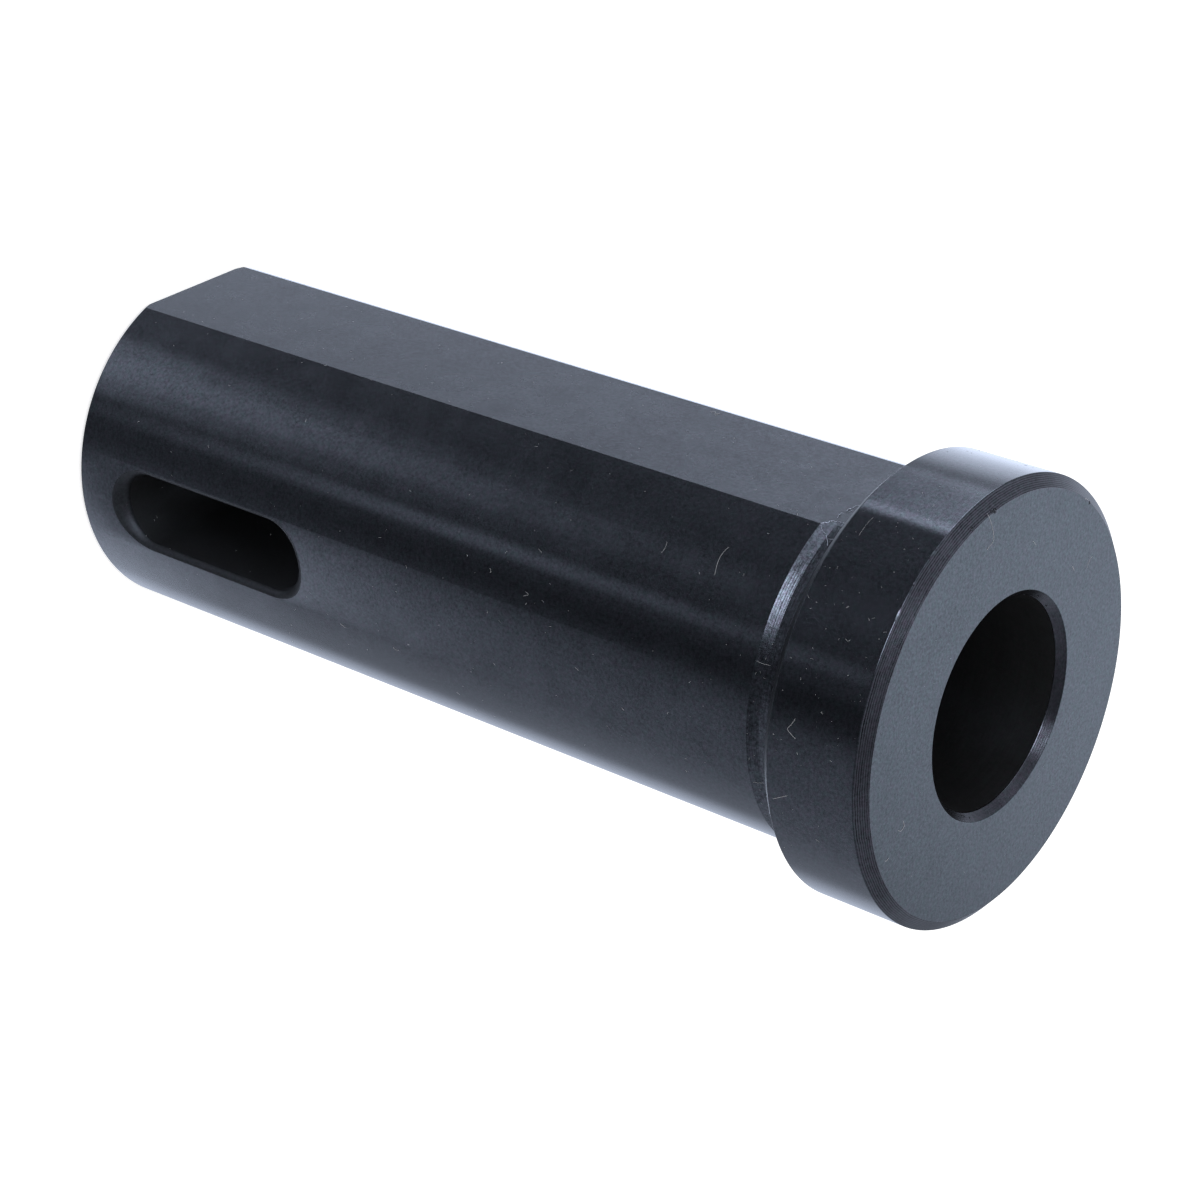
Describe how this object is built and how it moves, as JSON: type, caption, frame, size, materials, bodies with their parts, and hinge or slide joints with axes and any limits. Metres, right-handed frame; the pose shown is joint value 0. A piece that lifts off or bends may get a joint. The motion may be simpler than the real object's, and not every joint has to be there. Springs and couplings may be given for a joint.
{
  "type": "morse taper sleeve",
  "caption": "Straight-shank tool sleeve with a flanged head, a Morse taper socket for tanged tools, a through drift slot and a milled clamp flat.",
  "frame": {"origin": "centre of the back end face, on the sleeve's axis, where the sleeve stands", "axes": "+Z along the axis from the back end to the face of the head; -X out of the milled clamp flat; Y through the drift slot"},
  "size_m": [0.0373, 0.0374, 0.0889],
  "materials": {
    "black_oxide_steel": "black oxide on turned and ground steel, satin with a thin film of oil"
  },
  "bodies": {
    "root": {"sleeve": "black_oxide_steel"}
  },
  "joints": []
}
